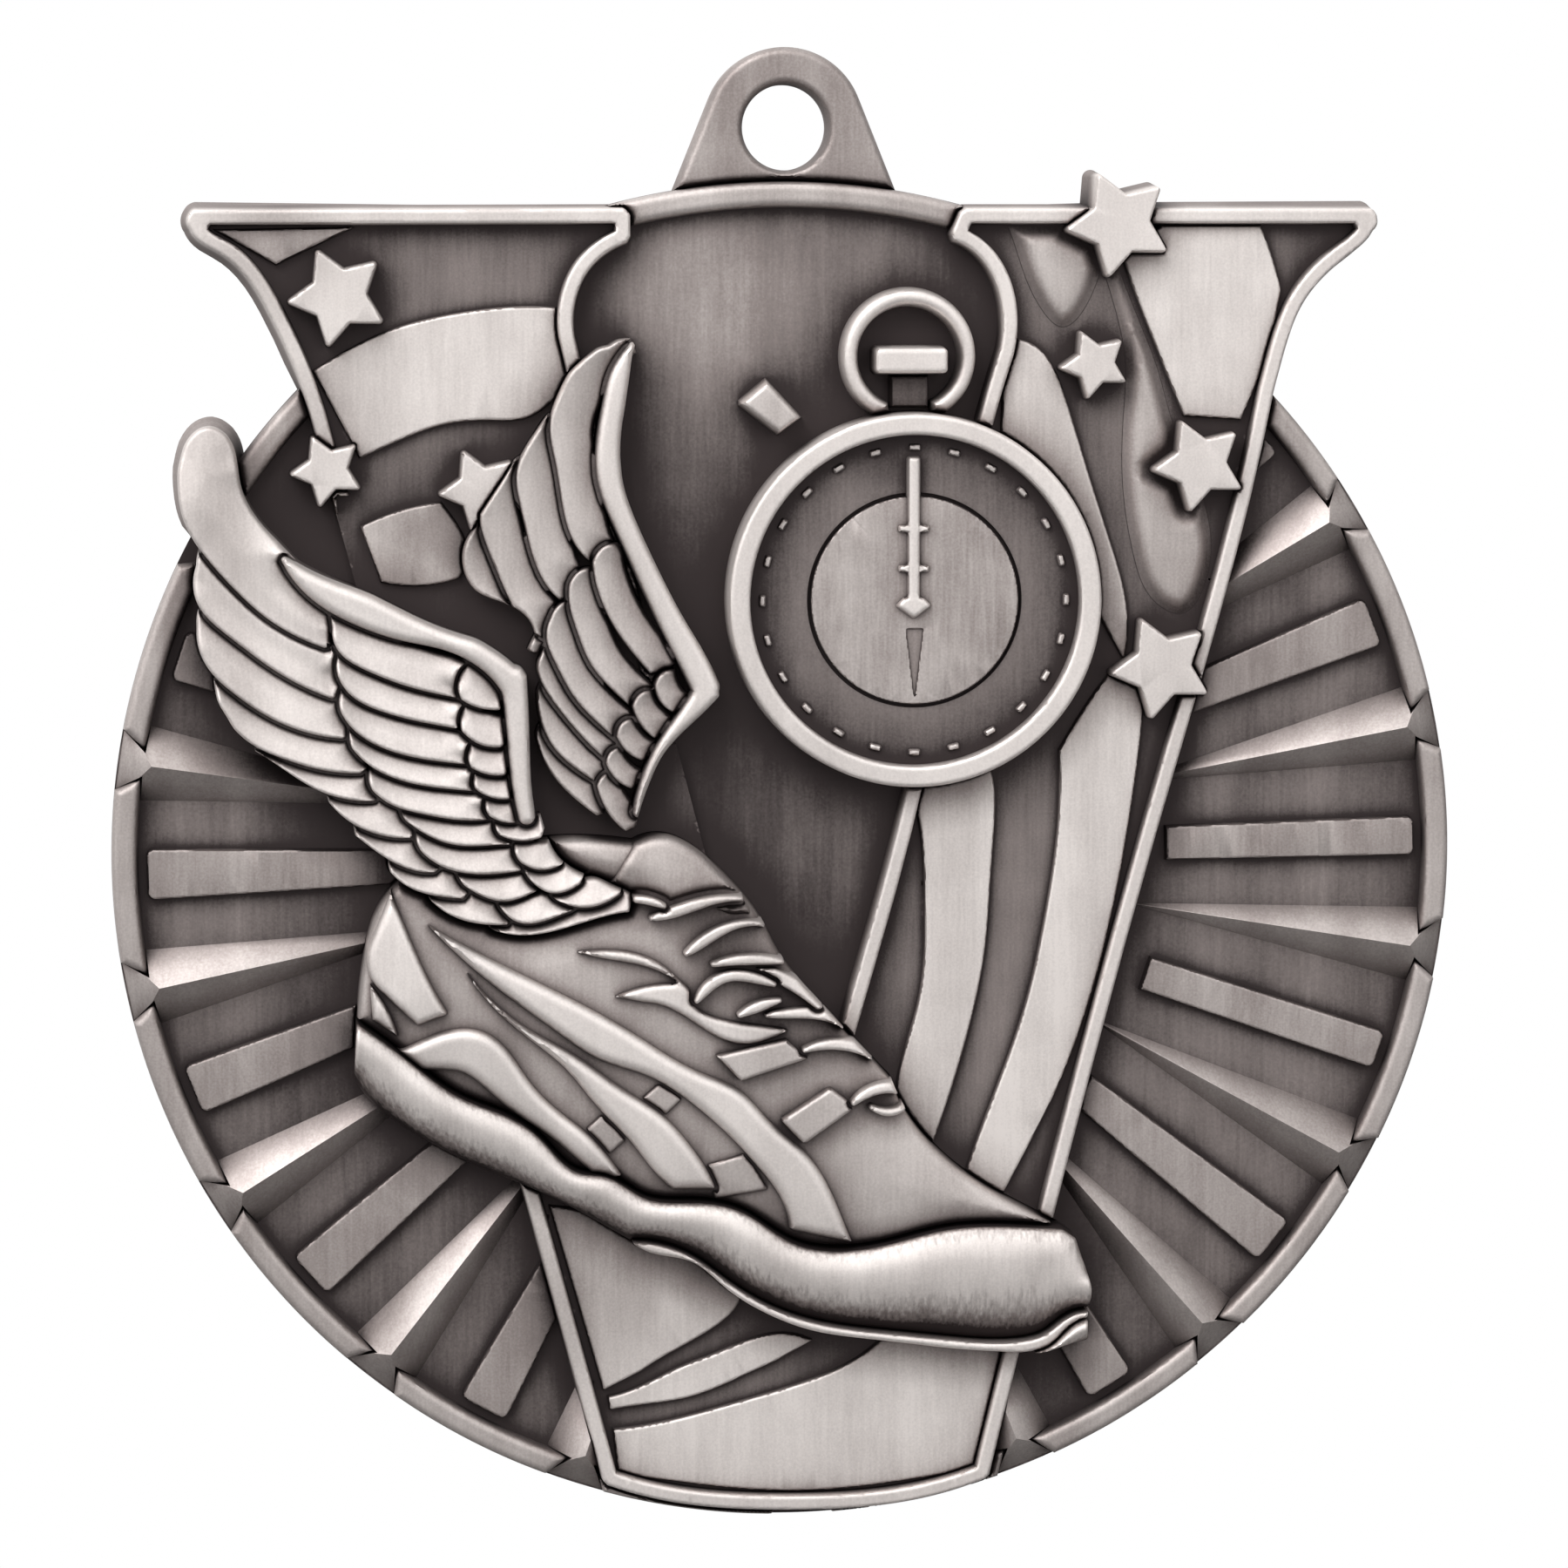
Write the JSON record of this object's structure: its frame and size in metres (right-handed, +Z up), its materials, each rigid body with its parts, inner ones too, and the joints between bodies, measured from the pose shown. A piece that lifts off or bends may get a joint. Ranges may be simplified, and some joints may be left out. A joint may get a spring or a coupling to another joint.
{
  "type": "sports finisher medal",
  "caption": "Round die-cast finisher medal with a V frame, a winged running shoe, a stopwatch, stars and a sunburst in relief, and a tab with a ribbon hole.",
  "frame": {"origin": "centre of the round disc, on its flat back face", "axes": "+Z up towards the ribbon tab, +X to the viewer's right, the decorated front faces -Y"},
  "size_m": [0.0508, 0.004, 0.0558],
  "materials": {
    "dark_field": "dark antique patina left in the low ground of the casting",
    "brushed_silver": "antique silver plating, brushed, half toned down by patina",
    "bright_relief": "antique silver plating, rubbed bright on the high relief"
  },
  "bodies": {
    "root": {"band_rungs": "bright_relief", "base_stripes": "brushed_silver", "crown_stem": "dark_field", "dial_centre": "brushed_silver", "dial_ticks": "bright_relief", "disc_rim": "brushed_silver", "eyestay": "bright_relief", "far_wing_base": "bright_relief", "far_wing_bone": "bright_relief", "far_wing_coverts": "bright_relief", "far_wing_primaries": "bright_relief", "far_wing_scapulars": "bright_relief", "hanger_loop": "brushed_silver", "heel_tab": "bright_relief", "lace_straps": "bright_relief", "lap_button": "bright_relief", "left_stars": "bright_relief", "left_stripes": "brushed_silver", "lower_stripes": "brushed_silver", "medal_disc": "dark_field", "near_wing_base": "bright_relief", "near_wing_bone": "bright_relief", "near_wing_coverts": "bright_relief", "near_wing_primaries": "bright_relief", "near_wing_scapulars": "bright_relief", "outsole_edge": "bright_relief", "right_folds": "dark_field", "right_stars": "bright_relief", "right_stripes": "brushed_silver", "shoe_laces": "bright_relief", "shoe_midsole": "bright_relief", "shoe_tongue": "dark_field", "shoe_upper": "bright_relief", "side_bands": "bright_relief", "stopwatch_bezel": "bright_relief", "stopwatch_bow": "bright_relief", "stopwatch_crown": "bright_relief", "stopwatch_dial": "brushed_silver", "stopwatch_hand": "bright_relief", "sunburst_bars": "brushed_silver", "sunburst_pleats": "brushed_silver", "v_border": "bright_relief", "v_plate": "dark_field"}
  },
  "joints": []
}
